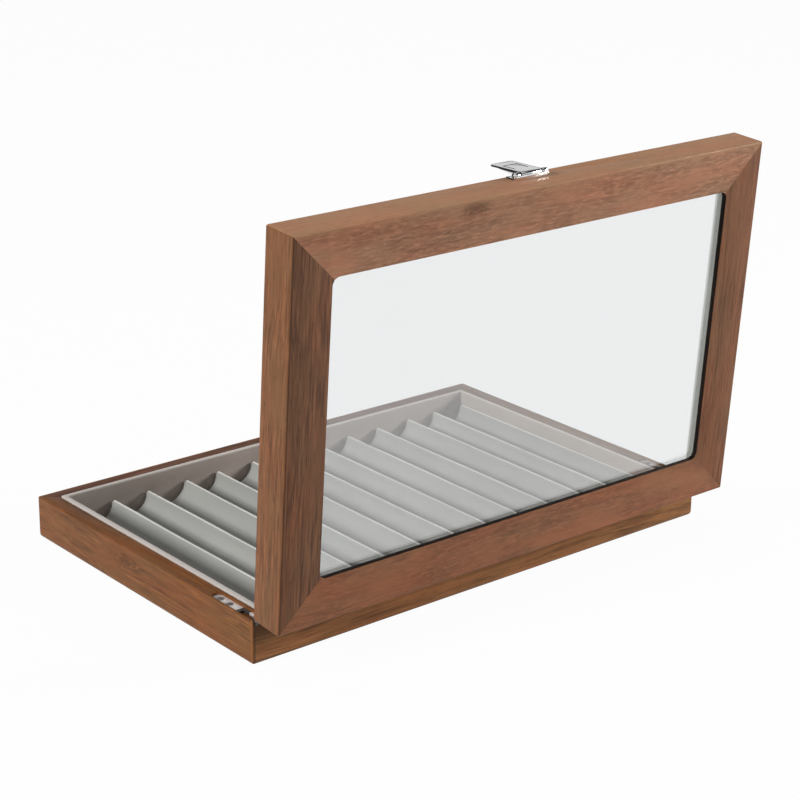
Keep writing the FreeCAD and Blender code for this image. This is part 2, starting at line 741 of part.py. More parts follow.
def catch():
    """The small plate on the base under the hasp, with a low lip, and its nails."""
    outside = CLASP_Y - s.clasp_plate
    top = s.base_height - s.catch_top
    plate = box(middle(s.catch_width), (outside, CLASP_Y), (top - s.catch_height, top))
    lip_top = s.base_height - s.catch_lip_down + s.catch_lip_thickness / 2
    lip_z = (lip_top - s.catch_lip_thickness, lip_top)
    lip = box(middle(s.catch_lip_width), (CLASP_Y - s.catch_lip_out, CLASP_Y), lip_z)
    holes = plate_nail_holes(s.catch_nail_spread, CATCH_NAIL_Z, (outside - SPARE, CLASP_Y + SPARE))
    node("catch_plate", cut(fuse(plate, lip), *holes))
    nails = [nail(s.catch_nail_spread * sign, CATCH_NAIL_Z, outside) for sign in (-1, 1)]
    node("catch_nails", group(*nails))


base_walls()
bottom_panel()
base_lining()
insert()
lid_frame()
glass_and_lining()
for hinge_side, hinge_x in HINGES.items():
    hinge(hinge_side, hinge_x)
hinge_screws()
clasp_mount()
hasp()
catch()
doc.recompute()

faults = [item.Name for item in doc.Objects if "Invalid" in item.State or "Error" in item.State]
faults += [item.Label for item in nodes if item.Shape.isNull() or not item.Shape.isValid()]
if faults:
    raise RuntimeError("these objects failed: %s" % ", ".join(faults))

os.makedirs("parts", exist_ok=True)
for item in nodes:
    item.Shape.exportStep("parts/%s.step" % item.Label)
print("%d sub-parts, %d solids" % (len(nodes), sum(len(item.Shape.Solids) for item in nodes)))
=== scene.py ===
import json
import math

import bmesh
import bpy
import numpy as np
from mathutils import Euler, Matrix, Vector


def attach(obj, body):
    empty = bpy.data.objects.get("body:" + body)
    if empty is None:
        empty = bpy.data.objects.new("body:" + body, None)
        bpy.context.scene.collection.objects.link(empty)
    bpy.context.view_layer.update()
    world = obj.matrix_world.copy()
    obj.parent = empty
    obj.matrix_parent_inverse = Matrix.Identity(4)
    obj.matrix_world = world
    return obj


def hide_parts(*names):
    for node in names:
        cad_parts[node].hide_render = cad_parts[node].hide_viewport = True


# Pen display case, stood open on a pale floor. Lengths are in metres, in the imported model's frame:
# +X is the right of someone who faces the clasp, -Y is the clasp side and +Z is up.

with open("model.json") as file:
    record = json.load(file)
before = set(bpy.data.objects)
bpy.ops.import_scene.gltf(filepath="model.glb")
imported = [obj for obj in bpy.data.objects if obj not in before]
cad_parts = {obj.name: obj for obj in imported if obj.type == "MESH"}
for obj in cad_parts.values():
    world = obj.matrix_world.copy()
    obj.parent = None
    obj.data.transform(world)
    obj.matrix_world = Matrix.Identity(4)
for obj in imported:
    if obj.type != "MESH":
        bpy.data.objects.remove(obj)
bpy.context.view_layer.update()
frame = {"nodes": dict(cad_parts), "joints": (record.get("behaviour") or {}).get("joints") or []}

MM = 0.001
LID_JOINT = next(joint for joint in frame["joints"] if joint["name"] == "lid_hinge")
PIVOT = np.array(LID_JOINT["pos_m"], float)
LID_ANGLE = math.radians(LID_JOINT["range_deg"][1])
SIDES = ("front", "right", "back", "left")
LIP = (0.13962, 0.08212, 0.04765)    # half width, half depth and top of the opening's black-painted edge


# Places and extents

def turned(points, angle, about=PIVOT):
    """Points turned about a line through a place, along X, anticlockwise seen from +X."""
    c, s = math.cos(angle), math.sin(angle)
    y, z = points[..., 1] - about[1], points[..., 2] - about[2]
    return np.stack([points[..., 0], about[1] + c * y - s * z, about[2] + s * y + c * z], axis=-1)


def corners_of(node):
    """A CAD node's mesh points as an array."""
    mesh = frame["nodes"][node].data
    points = np.empty(len(mesh.vertices) * 3)
    mesh.vertices.foreach_get("co", points)
    return points.reshape(-1, 3)


def extent(node, shut=False):
    """Lowest and highest corner of a CAD node, as it stands or with the lid shut."""
    points = corners_of(node)
    if shut:
        points = turned(points, LID_ANGLE)
    return points.min(axis=0), points.max(axis=0)


# Materials

class Value:
    """A socket of a material's nodes. Sums and products of values add Math nodes."""

    def __init__(self, tree, socket=None):
        self.tree = tree
        self.socket = socket

    def node(self, kind, settings=(), sockets=(), output=0):
        """Any other node: its settings first, then the values or links of its sockets."""
        made = self.tree.nodes.new("ShaderNode" + kind)
        for name, setting in dict(settings).items():
            if name == "stops":
                ramp = made.color_ramp
                while len(ramp.elements) < len(setting):
                    ramp.elements.new(0.5)
                for stop, (place, colour) in zip(ramp.elements, setting):
                    stop.position = place
                    stop.color = (*colour, 1.0)
            else:
                setattr(made, name, setting)
        for name, value in dict(sockets).items():
            if isinstance(value, Value):
                self.tree.links.new(value.socket, made.inputs[name])
            else:
                made.inputs[name].default_value = value
        return Value(self.tree, made.outputs[output])

    def math(self, operation, *values):
        return self.node("Math", {"operation": operation}, dict(enumerate(values)))

    def __add__(self, other):
        return self.math("ADD", self, other)

    __radd__ = __add__

    def __sub__(self, other):
        return self.math("SUBTRACT", self, other)

    def __rsub__(self, other):
        return self.math("SUBTRACT", other, self)

    def __mul__(self, other):
        return self.math("MULTIPLY", self, other)

    __rmul__ = __mul__

    def __pow__(self, other):
        return self.math("POWER", self, other)

    def between(self, low, high):
        """0 below low, 1 above high and smooth between them."""
        return self.node("MapRange", {"interpolation_type": "SMOOTHSTEP"},
                         {"Value": self, "From Min": low, "From Max": high})

    def noise(self, scale, detail=2.0, rough=0.5, distortion=0.0):
        """Noise from 0 to 1 on a vector whose axes are first scaled, in turns per metre."""
        vector = self.node("VectorMath", {"operation": "MULTIPLY"}, {0: self, 1: scale})
        return self.node("TexNoise", {}, {"Vector": vector, "Scale": 1.0, "Detail": detail,
                                          "Roughness": rough, "Distortion": distortion})

    def tint(self, first, second):
        """The first colour where this value is 0 and the second where it is 1."""
        colours = [(*c, 1.0) if isinstance(c, tuple) else c for c in (first, second)]
        return self.node("Mix", {"data_type": "RGBA"}, {0: self, 6: colours[0], 7: colours[1]}, 2)


def new_material(name):
    """A material with an empty tree, and a value to start its nodes from."""
    material = bpy.data.materials.new(name)
    material.use_nodes = True
    material.node_tree.nodes.clear()
    return material, Value(material.node_tree)


def close_material(start, shader):
    """Sends a shader to the material's output."""
    out = start.tree.nodes.new("ShaderNodeOutputMaterial")
    start.tree.links.new(shader.socket, out.inputs["Surface"])


def srgb(red, green, blue):
    """A colour given as it looks on a screen, 0 to 255, as linear light."""
    def linear(level):
        level /= 255
        return level / 12.92 if level <= 0.04045 else ((level + 0.055) / 1.055) ** 2.4
    return tuple(linear(level) for level in (red, green, blue))


def case_vector(start, lid):
    """Object coordinates, brought back to the shut case on the lid's pieces."""
    place = start.node("TexCoord", {}, {}, "Object")
    if not lid:
        return place
    turn = Euler((LID_ANGLE, 0, 0)).to_matrix()
    shift = Vector(PIVOT) - turn @ Vector(PIVOT)
    return place.node("Mapping", {}, {"Vector": place, "Location": shift, "Rotation": (LID_ANGLE, 0, 0)})


def walnut(name, along, colour, seed, lid=False, slant=0.0, wander=1.0, streaks=1.0, fibres=1.0, flecks=0.0,
           mottle=1.0, lines=0.0, bands=(), knots_and_shade=(), side=None):
    """Satin hardwood with its grain along X or Y of the shut case, around one mean colour.

    A slow noise bends the grain, which may also run at a slant. Growth lines are the fraction of the
    distance from a far heart line. Streaks, fibres and pores are noises drawn out along the grain, the
    pores cut off to short dark dashes and the flecks to short pale ones. Lines are long thin pale
    streaks that come and go. Two slow mottles move the tone and the hue between red and olive. Each knot
    bends the grain round a point and darkens it; a knot also serves as a spot of painted shade. A band is
    a narrow stretch of another shade across one axis, used for dark seams at joints, painted shade and
    painted highlights: its axis, place, half width and shade. A side is the axis, the sign and the place
    past which one face is painted in other factors, painted light where it lightens a lit face: how far
    its grain calms and its colour's factors.
    """
    material, start = new_material(name)
    place = case_vector(start, lid)
    axes = [place.node("SeparateXYZ", {}, {0: place}, axis) for axis in "XYZ"]
    u, v, w = (axes[0], axes[1], axes[2]) if along == "x" else (axes[1], axes[0], axes[2])
    knot_and_shade_dark = None
    # Knots bend and darken the grain; the one on the base's back wall is painted shade.
    for knot_u, knot_v, knot_w, size, strength in knots_and_shade:
        du, dv, dw = (u - knot_u) * (0.4 / size), (v - knot_v) * (1.0 / size), (w - knot_w) * (1.0 / size)
        near = start.math("EXPONENT", (du * du + dv * dv + dw * dw) * -1.0)
        v = v + near * (size * 0.9)
        w = w + near * (size * 0.9)
        near = near * strength
        knot_and_shade_dark = near if knot_and_shade_dark is None else start.math("MAXIMUM", knot_and_shade_dark, near)
    v, w = v + u * slant + seed * 0.117, w + u * slant * 0.7 + seed * 0.053
    u = u + seed * 0.731
    bend = u.node("CombineXYZ", {}, {0: u, 1: v, 2: w}).noise((11, 16, 16), 1.0) - 0.5
    v, w = v + bend * (0.008 * wander), w + bend * (0.006 * wander)
    grain = u.node("CombineXYZ", {}, {0: u, 1: v, 2: w})
    heart_v, heart_w = v + 0.03, w * 1.5 + 0.045
    reach = (heart_v * heart_v + heart_w * heart_w) ** 0.5
    growth = start.math("FRACT", reach * 210.0)
    growth = growth.between(0.1, 0.92) * (1.0 - growth.between(0.94, 1.0))
    fibre = grain.noise((42, 900, 900), 3.0, 0.6)
    streak = grain.noise((14, 300, 300), 3.0, 0.62)
    blotch = grain.noise((26, 60, 60), 2.0)
    hue = grain.noise((20, 90, 90), 2.0).between(0.3, 0.7)
    pores = grain.noise((110, 1250, 1250), 1.0).between(0.6, 0.72)
    lively = blotch.between(0.32, 0.62) * 1.1 + 0.5
    tone = (fibre - 0.5) * (1.9 * fibres) + (streak - 0.5) * (1.2 * streaks) + (growth - 0.5) * (0.15 * streaks)
    tone = tone * lively + (blotch - 0.5) * (0.9 * mottle)
    if flecks:
        pale = grain.noise((170, 700, 700), 2.0, 0.6, 0.3)
        tone = tone - (pale.between(0.42, 0.7) - 0.4) * lively * flecks
    if lines:
        pale = grain.noise((16, 900, 900), 1.0).between(0.5, 0.68) * blotch.between(0.42, 0.6)
        tone = tone - (pale - 0.2) * lines
    # A side paints one face in other factors; on the lid's right member this lightening is painted light on its lit
    # side.
    if side:
        axis, sign, place, calm, factors = side
        other_face = (axes[axis] * sign).between(place - 0.0015, place + 0.0015)
        tone = tone * (1.0 - other_face * calm)
    if knot_and_shade_dark is not None:
        tone = tone + knot_and_shade_dark * 1.0
    tone = (tone + 0.5).between(-0.45, 1.45)
    light, dark = tuple(c * 1.5 for c in colour), tuple(c * 0.5 for c in colour)
    red = [tuple(c * f for c, f in zip(end, (1.05, 0.97, 0.92))) for end in (light, dark)]
    olive = [tuple(c * f for c, f in zip(end, (0.95, 1.03, 1.0))) for end in (light, dark)]
    paint = tone.tint(hue.tint(red[0], olive[0]), hue.tint(red[1], olive[1]))
    if side:
        cast = other_face.tint((1.0, 1.0, 1.0), factors)
        paint = start.node("VectorMath", {"operation": "MULTIPLY"}, {0: paint, 1: cast})
    paint = (pores * (0.45 * min(1.0, fibres))).tint(paint, tuple(0.35 * c for c in colour))
    # Bands serve as dark seams at joints, as painted shade and as painted highlights.
    for axis, middle, half, shade in bands:
        near = 1.0 - start.math("ABSOLUTE", axes[axis] - middle).between(half * 0.6, half * 1.4)
        paint = (near * 0.7).tint(paint, tuple(c * shade for c in colour))
    rough = 0.48 + fibre * 0.12 + pores * 0.1
    if lid:
        window = [start.math("ABSOLUTE", axes[0]), start.math("ABSOLUTE", axes[1]), axes[2]]
        edge = [start.math("LESS_THAN", across, limit) for across, limit in zip(window, LIP)]
        painted = edge[0] * edge[1] * edge[2]
        paint = painted.tint(paint, srgb(34, 26, 21))
        rough = rough + painted * 0.45
    else:
        # Painted shade: the base's walls darken along their bottom 2 mm, where they meet the floor.
        foot = 1.0 - axes[2].between(0.0002, 0.0022)
        paint = (foot * 0.6).tint(paint, tuple(0.25 * c for c in colour))
    bump = start.node("Bump", {}, {"Strength": 0.12, "Distance": 0.0002, "Height": fibre * 0.5 - pores * 0.6})
    shader = start.node("BsdfPrincipled", {}, {
        "Base Color": paint, "Roughness": rough, "Normal": bump, "IOR": 1.45, "Specular IOR Level": 0.2,
        "Coat Weight": 0.05, "Coat Roughness": 0.08})
    close_material(start, shader)
    return material


def velvet(name, colour, shade, edge=None):
    """Short-pile cloth: a slow brushed nap, a fine pile noise in its bump, and a little sheen.

    An edge is a height above which the cloth is painted lighter as a painted highlight along its lit top,
    and its colour's factors there.
    """
    material, start = new_material(name)
    place = start.node("TexCoord", {}, {}, "Object")
    nap = place.noise((24, 14, 24), 2.0)
    pile = place.noise((2600, 2600, 2600), 1.0)
    tone = nap.between(0.3, 0.75) * 0.6 + pile * 0.4
    bump = start.node("Bump", {}, {"Strength": 0.25, "Distance": 0.0002, "Height": pile * 0.5 + nap * 2.0})
    paint = tone.tint(colour, shade)
    if edge:
        height, factors = edge
        # Painted highlight: the cloth is lighter above the edge's height, along lit tops and crests.
        painted_highlight = place.node("SeparateXYZ", {}, {0: place}, "Z").between(height - 0.0003, height)
        paint = painted_highlight.tint(paint, tuple(c * f for c, f in zip(colour, factors)))
    shader = start.node("BsdfPrincipled", {}, {
        "Base Color": paint, "Roughness": 0.95, "Normal": bump,
        "Specular IOR Level": 0.1, "Sheen Weight": 0.5, "Sheen Roughness": 0.35})
    close_material(start, shader)
    return material


def plated(name, colour, rough, painted_dark=(), metal=1.0):
    """Bright plated metal with faint polishing marks. Brushed plating is less than fully metallic.

    Some parts are painted darker, as painted shade and painted dark reflection: each has its first and
    last place along some axes, and the colour's factor.
    """
    material, start = new_material(name)
    place = start.node("TexCoord", {}, {}, "Object")
    marks = place.noise((400, 3000, 3000), 2.0)
    cloud = place.noise((300, 300, 300), 2.0)
    paint = cloud.tint(colour, tuple(0.9 * c for c in colour))
    # Painted shade and painted dark reflection: each stretch darkens the colour by its factor.
    for stretches, factor in painted_dark:
        inside = 1.0
        for axis, (first, last) in stretches.items():
            along = place.node("SeparateXYZ", {}, {0: place}, axis)
            inside = inside * along.between(first - 0.0002, first + 0.0002)
            inside = inside * (1.0 - along.between(last - 0.0002, last + 0.0002))
        paint = inside.tint(paint, tuple(factor * c for c in colour))
    shader = start.node("BsdfPrincipled", {}, {
        "Base Color": paint, "Metallic": metal, "Roughness": rough + marks * 0.08,
        "Normal": start.node("Bump", {}, {"Strength": 0.05, "Distance": 0.0001, "Height": marks})})
    close_material(start, shader)
    return material


def clear_glass():
    """Float glass that lets lamps through, with a faint grey-green tint."""
    material, start = new_material("clear_glass")
    place = start.node("TexCoord", {}, {}, "Object")
    haze = place.noise((18, 18, 18), 2.0)
    glass = start.node("BsdfPrincipled", {}, {
        "Base Color": haze.tint((0.825, 0.84, 0.845), (0.81, 0.825, 0.83)), "Roughness": 0.0,
        "IOR": 1.5, "Transmission Weight": 1.0, "Coat Weight": 1.0, "Coat IOR": 1.9, "Coat Roughness": 0.0})
    pass_through = start.node("BsdfTransparent", {}, {"Color": (0.84, 0.85, 0.85, 1.0)})
    shadow = start.node("LightPath", {}, {}, "Is Shadow Ray")
    diffuse = start.node("LightPath", {}, {}, "Is Diffuse Ray")
    share = start.math("MAXIMUM", shadow, diffuse)
    close_material(start, start.node("MixShader", {}, {0: share, 1: glass, 2: pass_through}))
    return material


def plain_card(name, colour, shade):
    """Matt board with a fine mottle."""
    material, start = new_material(name)
    place = start.node("TexCoord", {}, {}, "Object")
    mottle = place.noise((120, 500, 500), 3.0)
    shader = start.node("BsdfPrincipled", {}, {"Base Color": mottle.tint(colour, shade),
                                               "Roughness": 0.7 + mottle * 0.2})
    close_material(start, shader)
    return material


# Making pieces

def new_piece(name, points, faces, body, finish, nodes=()):
    """An object of points and faces that rides on a body and may stand for CAD nodes."""
    mesh = bpy.data.meshes.new(name)
    mesh.from_pydata(np.asarray(points).tolist(), [], faces)
    mesh.validate()
    return finish_piece(name, mesh, body, finish, nodes)


def finish_piece(name, mesh, body, finish, nodes):
    """Links a mesh as a smooth-shaded piece with its finish, on its body, and hides the nodes it stands for."""
    mesh.shade_smooth()
    mesh.set_sharp_from_angle(angle=math.radians(35))
    piece = bpy.data.objects.new(name, mesh)
    bpy.context.scene.collection.objects.link(piece)
    mesh.materials.clear()
    mesh.materials.append(finish)
    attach(piece, body)
    if nodes:
        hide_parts(*nodes)
    return piece


def grid_faces(rows, columns, wrap=False):
    """The four-sided faces of a grid of points, row by row. With wrap, the columns close on themselves."""
    last = columns if wrap else columns - 1
    row, column = np.meshgrid(np.arange(rows - 1), np.arange(last), indexing="ij")
    after = (column + 1) % columns
    quads = np.stack([row * columns + column, row * columns + after,
                      (row + 1) * columns + after, (row + 1) * columns + column], axis=-1)
    return quads.reshape(-1, 4).tolist()


def softened(node, body, finish, width):
    """A copy of a CAD node with its doubles merged and its sharp edges bevelled."""
    work = bmesh.new()
    work.from_mesh(frame["nodes"][node].data)
    bmesh.ops.remove_doubles(work, verts=work.verts, dist=2e-7)
    bmesh.ops.dissolve_limit(work, angle_limit=math.radians(0.3), verts=work.verts, edges=work.edges)
    mesh = bpy.data.meshes.new(node + "_worked")
    work.to_mesh(mesh)
    work.free()
    piece = bpy.data.objects.new(node + "_worked", mesh)
    bpy.context.scene.collection.objects.link(piece)
    bevel = piece.modifiers.new("edges", "BEVEL")
    bevel.width = width
    bevel.segments = 2
    bevel.limit_method = "ANGLE"
    bevel.angle_limit = math.radians(38)
    bevel.use_clamp_overlap = True
    graph = bpy.context.evaluated_depsgraph_get()
    result = bpy.data.meshes.new_from_object(piece.evaluated_get(graph))
    bpy.data.objects.remove(piece)
    return finish_piece(node + "_finish", result, body, finish, (node,))


def board_section(wide, low, high, tuck, bulge, rounding, steps=6):
    """A lining board's outline in (depth, height) pairs, depth counted in from the wall.

    It is a rectangle with two round upper corners. Near the top its outer face leans in by a tuck,
    and its inner face swells by a bulge where the cloth is doubled over the edge.
    """
    angle = np.linspace(0, math.pi / 2, steps + 1)
    thick = wide + bulge
    left = np.stack([tuck + rounding * (1 - np.cos(angle)), high - rounding * (1 - np.sin(angle))], axis=1)
    right = np.stack([thick - rounding * (1 - np.sin(angle)), high - rounding * (1 - np.cos(angle))], axis=1)
    outer = np.array([(0.0, low), (0.0, high - 3.4 * MM), (0.5 * tuck, high - 2.7 * MM), (0.95 * tuck, high - 2.0 * MM)])
    fall = np.linspace(0, 1, 7)
    swell = np.stack([wide + bulge * (1 + np.cos(math.pi * fall)) / 2, high - (3.5 + 10.0 * fall) * MM], axis=1)
    swell = np.concatenate([swell, [(wide, low)]])
    return np.concatenate([outer if tuck else outer[:1], left, right, swell if bulge else swell[-1:]])


def lining_board(name, node, side, section, width, depth, lid, finish, tilt=0.0):
    """A cloth-covered board of a lining, swept along one side of a rectangle.

    Each point of the section lies at its own depth in from the rectangle and runs along the side
    between the two mitre planes, so its length is the side's less twice its depth. The last
    millimetre at both ends draws in a little, as cloth does at a corner. With a tilt, the heights
    above the foot shrink in proportion towards the left end of the case, where the top is lower by it.
    """
    turn = SIDES.index(side)
    length, across = (width, depth) if turn % 2 == 0 else (depth, width)
    share = np.array([-1.0, -0.996, -0.99, *np.linspace(-0.96, 0.96, 25), 0.99, 0.996, 1.0])
    pinch = np.interp(np.abs(share), [0.0, 0.99, 1.0], [0.0, 0.0, 1.0])[:, None] * 0.15 * MM
    middle = section.mean(axis=0)
    inward = section - middle
    inward = inward / np.linalg.norm(inward, axis=1, keepdims=True)
    deep = section[None, :, 0] - pinch * inward[None, :, 0]
    high = section[None, :, 1] - pinch * inward[None, :, 1] * (section[None, :, 1] > middle[1])
    run = share[:, None] * (length / 2 - deep - 0.02 * MM)
    back = -(across / 2 - deep)
    c, s = ((1, 0), (0, 1), (-1, 0), (0, -1))[turn]
    x, y = c * run - s * back, s * run + c * back
    foot, top = section[:, 1].min(), section[:, 1].max()
    high = high - tilt * (0.5 - x / width) * (high - foot) / (top - foot)
    points = np.stack([x, y, high], axis=-1).reshape(-1, 3)
    if lid:
        points = turned(points, -LID_ANGLE)
    rows, columns = len(share), len(section)
    faces = grid_faces(rows, columns, wrap=True)
    faces = [face[::-1] for face in faces]
    faces.append(list(range(columns)))
    faces.append([(rows - 1) * columns + k for k in range(columns)][::-1])
    body = "lid" if lid else "base"
    piece = new_piece(name, points, faces, body, finish, (node,))
    outward(piece)
    return piece


def outward(piece):
    """Turns a closed piece's faces outwards."""
    work = bmesh.new()
    work.from_mesh(piece.data)
    bmesh.ops.recalc_face_normals(work, faces=work.faces)
    work.to_mesh(piece.data)
    work.free()
    piece.data.update()


def strip_profile(foot, crest, half, floor, shoulder, steps):
    """The hollow flank from a channel's foot to a shoulder, as (x, z) pairs.

    It is the arc that leaves the foot level and ends at the shoulder, so its centre is above the
    foot at a height of (run squared + rise squared) / (2 rise).
    """
    run, rise = abs(crest - foot) - half, shoulder - floor
    radius = (run ** 2 + rise ** 2) / (2 * rise)
    angle = np.linspace(0, math.asin(min(1.0, run / radius)), steps)
    side = math.copysign(1.0, crest - foot)
    return np.stack([foot + side * radius * np.sin(angle), floor + radius * (1 - np.cos(angle))], axis=1)


def velvet_insert(finish):
    """The insert's velvet skin, one cloth over all the strips, with its ends tucked down.

    Across the case it follows hollow flanks and half-round crests. Along the case each crest
    wanders by a few tenths of a millimetre, a sum of two sines, and the last part before each end
    turns down on a quarter circle.
    """
    ridges = ["ridge_%02d" % number for number in range(1, 12)]
    strips = ["right_end_strip", *ridges, "left_end_strip"]
    low, high = extent("ridge_05")
    half, top, floor = 1.15 * MM, high[2], low[2] + 1.3 * MM
    shoulder = top - half
    crests, feet = [], []
    for node in strips:
        points = corners_of(node)
        tips = points[points[:, 2] > top - 1e-5]
        first, last = points[:, 0].min(), points[:, 0].max()
        crest = tips[:, 0].mean()
        if node == "right_end_strip":
            crest = tips[:, 0].min()
        if node == "left_end_strip":
            crest = tips[:, 0].max()
        crests.append(crest)
        feet.append((first, last))
    over = np.linspace(0, math.pi, 11)[1:-1]
    columns, owner = [], []
    wall_right, wall_left = feet[0][1], feet[-1][0]
    for number, (crest, (first, last)) in enumerate(zip(crests, feet)):
        rounded = np.stack([crest + half * np.cos(over), shoulder + half * np.sin(over)], axis=1)
        down = strip_profile(last, crest, half, floor, shoulder, 15)
        up = strip_profile(first, crest, half, floor, shoulder, 15)[::-1]
        if number == 0:
            land = np.stack([np.linspace(wall_right, crest + 0.4 * MM, 8), np.full(8, top)], axis=1)
            land[0, 1] -= 0.5 * MM
            part = np.concatenate([land, rounded[4:], up])
        elif number == len(crests) - 1:
            land = np.stack([np.linspace(crest - 0.1 * MM, wall_left, 3), np.full(3, top)], axis=1)
            land[-1, 1] -= 0.3 * MM
            part = np.concatenate([down[1:], rounded[:5], land])
        else:
            part = np.concatenate([down[1:], rounded, up])
        columns.append(part)
        owner.append(np.full(len(part), number))
    profile, owner = np.concatenate(columns), np.concatenate(owner)
    end = high[1]
    angle = np.linspace(0, math.pi / 2, 7)
    near, far = [np.stack([place + fold * np.sin(angle), fold * (1 - np.cos(angle))], axis=1)
                 for place, fold in ((end - 1.3 * MM, 1.3 * MM), (end - 2.5 * MM, 1.5 * MM))]
    middle = np.linspace(-far[0, 0], near[0, 0], 61)[1:-1]
    along = np.concatenate([-far[::-1, 0], middle, near[:, 0]])
    drop = np.concatenate([far[::-1, 1], np.zeros(59), near[:, 1]])
    y = np.broadcast_to(along[:, None], (len(along), len(profile)))
    raised = np.clip((profile[:, 1] - floor) / (top - floor), 0, 1)[None, :] ** 2
    phase = owner * 2.39
    sway = 0.16 * np.sin(y * 31.0 + phase) + 0.10 * np.sin(y * 83.0 + phase * 1.7)
    dip = 0.05 * np.sin(y * 47.0 + phase * 2.1) - 0.05
    edge = ((owner > 0) & (owner < len(crests) - 1)).astype(float)[None, :]
    x = profile[None, :, 0] + sway * raised * edge * MM
    z = profile[None, :, 1] + dip * raised * MM - drop[:, None]
    z = np.maximum(z, low[2] + 0.2 * MM)
    skin = np.stack([x, y, z], axis=-1)
    rim_first, rim_last = skin[:1].copy(), skin[-1:].copy()
    rim_first[..., 2] = rim_last[..., 2] = low[2]
    skin = np.concatenate([rim_first, skin, rim_last])
    side_first, side_last = skin[:, :1].copy(), skin[:, -1:].copy()
    side_first[..., 2] = side_last[..., 2] = low[2]
    skin = np.concatenate([side_first, skin, side_last], axis=1)
    rows, count = skin.shape[:2]
    faces = grid_faces(rows, count)
    border = [k for k in range(count)]
    border += [row * count + count - 1 for row in range(1, rows)]
    border += [(rows - 1) * count + k for k in range(count - 2, -1, -1)]
    border += [row * count for row in range(rows - 2, 0, -1)]
    faces.append(border[::-1])
    piece = new_piece("velvet_insert", skin.reshape(-1, 3), faces, "base", finish, strips)
    outward(piece)
    return piece


# The finishes

WOODS = {
    "base_front_wall": ("x", (98, 68, 56), 1, dict(side=(1, -1.0, 0.1060, 0.2, (1.9, 1.8, 1.4)))),
    # The back wall's band at a height of 24.5 mm and its knot near the right end are painted shade, the shadow of the
    # open lid, kept when the lid is shut; its band at x = 164 mm is the dark seam of the mitre.
    "base_back_wall": ("x", (145, 98, 60), 2, dict(streaks=1.3, fibres=0.75, bands=((0, 0.1640, 0.0009, 0.3), (2, 0.0245, 0.0055, 0.4)),
                                                   knots_and_shade=((0.156, 0.1075, 0.020, 0.007, 1.2),))),
    "base_left_wall": ("y", (110, 78, 54), 3, dict()),
    # The right wall's pale band at y = 106.8 mm is a painted highlight on the rounded back corner, with edge wear.
    "base_right_wall": ("y", (117, 73, 39), 4, dict(slant=0.03, lines=0.7, streaks=0.6, fibres=0.65, mottle=1.3, bands=((1, 0.1068, 0.0007, 1.5),),
                                                    knots_and_shade=((-0.0138, 0.165, 0.0168, 0.0045, 0.35),))),
    "lid_front_member": ("x", (161, 114, 88), 5, dict(flecks=0.34, fibres=0.4, streaks=0.3, mottle=0.9,
                                                      knots_and_shade=((0.050, -0.1025, 0.0476, 0.003, 0.8),),
                                                      side=(1, -1.0, 0.1055, 0.7, (1.08, 1.16, 1.09)))),
    "lid_back_member": ("x", (138, 89, 62), 6, dict(flecks=0.25, fibres=0.3, streaks=0.3, mottle=1.0)),
    "lid_left_member": ("y", (123, 82, 58), 7, dict(streaks=0.6, fibres=0.9, mottle=0.7)),
    # The right member's outer side face, past x = 164 mm, is painted lighter, painted light on its lit side; a dark
    # line runs along the corner at x = 164 mm.
    "lid_right_member": ("y", (108, 70, 47), 8, dict(fibres=1.4, streaks=0.8, mottle=0.5,
                                                     bands=((0, 0.1640, 0.0004, 0.3),),
                                                     side=(0, 1.0, 0.1640, 0.3, (1.155, 1.19, 1.07)))),
}
for wood_node, (grain_axis, wood_colour, wood_seed, wood_character) in WOODS.items():
    on_lid = wood_node.startswith("lid")
    timber = walnut(wood_node + "_wood", grain_axis, srgb(*wood_colour), wood_seed, lid=on_lid, **wood_character)
    softened(wood_node, "lid" if on_lid else "base", timber, 0.22 * MM)

# Painted highlight: the lining's lip is lighter above 26.2 mm.
lining_cloth = velvet("lining_cloth", srgb(181, 169, 161), srgb(166, 154, 146), edge=(26.2 * MM, (1.1, 1.17, 1.2)))
# The lid's lining is painted lighter than the base's lining: painted light on the cloth seen through the glass.
lid_cloth_lightened = velvet("lid_cloth_lightened", srgb(206, 208, 202), srgb(190, 192, 186))
# Painted highlight: the insert's crests are lighter in their top 0.15 mm.
insert_velvet = velvet("insert_velvet", srgb(164, 164, 160), srgb(150, 150, 146),
                       edge=(extent("ridge_05")[1][2] - 0.15 * MM, (1.75, 1.75, 1.75)))
# Painted shade on the hinges: the nickel darkens from 88.5 to 95.5 mm and past 102 mm along Y.
nickel = plated("nickel", (0.96, 0.91, 0.88), 0.25, metal=0.5,
                painted_dark=(({"Y": (0.0885, 0.0955)}, 0.1), ({"Y": (0.1020, 0.1300)}, 0.05)))
# A dark steel for the pins and screws; on the lid's leaves it is painted shade.
steel_and_shade = plated("dark_steel_and_shade", (0.40, 0.37, 0.36), 0.3)
chrome = plated("clasp_chrome", (0.86, 0.86, 0.87), 0.07)
# Painted shade under the hasp's knuckle: the clasp plate darkens at x 10.3 to 12 mm.
plate_chrome = plated("plate_chrome", (0.86, 0.86, 0.87), 0.07,
                      painted_dark=(({"X": (0.0103, 0.0120), "Y": (0.1200, 0.1296)}, 0.03),))
# Painted shade and painted dark reflection: the hasp darkens in thin lines along its edges and round its slit.
hasp_chrome = plated("hasp_chrome", (0.86, 0.86, 0.87), 0.07, painted_dark=(
    ({"X": (0.0070, 0.0090), "Z": (0.2434, 0.2460)}, 0.03),
    ({"X": (-0.0090, -0.0070), "Z": (0.2434, 0.2460)}, 0.03),
    ({"X": (0.0041, 0.0050), "Y": (0.1136, 0.1231)}, 0.03),
    ({"X": (-0.0050, -0.0041), "Y": (0.1136, 0.1231)}, 0.03),
    ({"X": (-0.0050, 0.0050), "Y": (0.1135, 0.1144)}, 0.03)))

